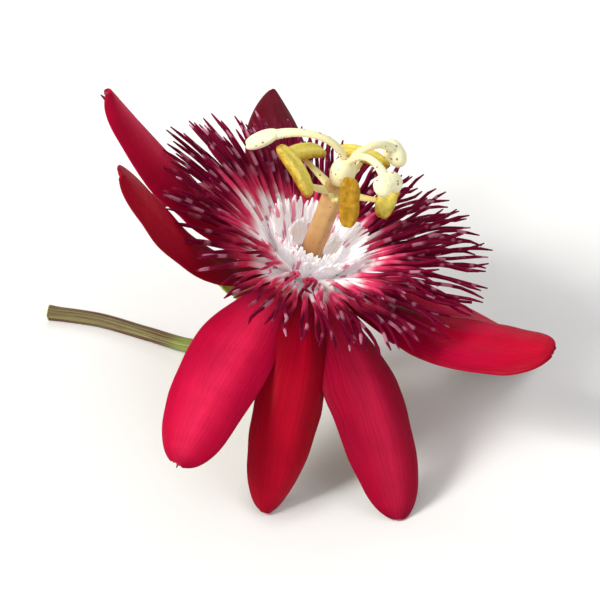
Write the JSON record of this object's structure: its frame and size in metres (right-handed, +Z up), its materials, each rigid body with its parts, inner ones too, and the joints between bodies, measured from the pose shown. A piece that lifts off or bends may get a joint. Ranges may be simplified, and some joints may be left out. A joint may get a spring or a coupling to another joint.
{
  "type": "passion flower bloom",
  "caption": "Red passion flower as picked: strap tepals, maroon thread corona round a white eye, raised stamens and stigmas, green bracts and a cut stalk.",
  "frame": {"origin": "middle of the space that the flower takes, on the surface that it lies on", "axes": "+Z up from the surface, -Y towards the side that the bloom faces a little, +X towards the side that the bloom leans to; the cut stalk runs to -X and +Y"},
  "size_m": [0.0918, 0.0974, 0.0637],
  "materials": {
    "petal_red": "satin, deep saturated red",
    "sepal_red": "satin, crimson red with a lighter midline, green keel outside",
    "bract_green": "satin, veined green leaf",
    "cup_green": "satin, pale green",
    "corona_maroon": "soft, dark maroon banded with pale pink",
    "corona_white": "soft, white tinged with pink",
    "column_peach": "satin, peach to pale yellow",
    "style_cream": "satin, cream yellow with small maroon specks",
    "pollen_gold": "matt, powdery golden ochre",
    "stalk_green": "satin, green turning maroon brown, with a pale cut end"
  },
  "bodies": {
    "root": {"floral_cup": "cup_green", "petal_1": "petal_red", "petal_2": "petal_red", "petal_3": "petal_red", "petal_4": "petal_red", "petal_5": "petal_red", "sepal_1": "sepal_red", "sepal_2": "sepal_red", "sepal_3": "sepal_red", "sepal_4": "sepal_red", "sepal_5": "sepal_red", "bract_1": "bract_green", "bract_2": "bract_green", "bract_3": "bract_green", "corona_threads": "corona_maroon", "corona_eye": "corona_white", "column": "column_peach", "ovary": "style_cream", "stamen_1": "style_cream", "stamen_2": "style_cream", "stamen_3": "style_cream", "stamen_4": "style_cream", "stamen_5": "style_cream", "anther_1": "pollen_gold", "anther_2": "pollen_gold", "anther_3": "pollen_gold", "anther_4": "pollen_gold", "anther_5": "pollen_gold", "style_1": "style_cream", "style_2": "style_cream", "style_3": "style_cream", "stalk": "stalk_green"}
  },
  "joints": []
}
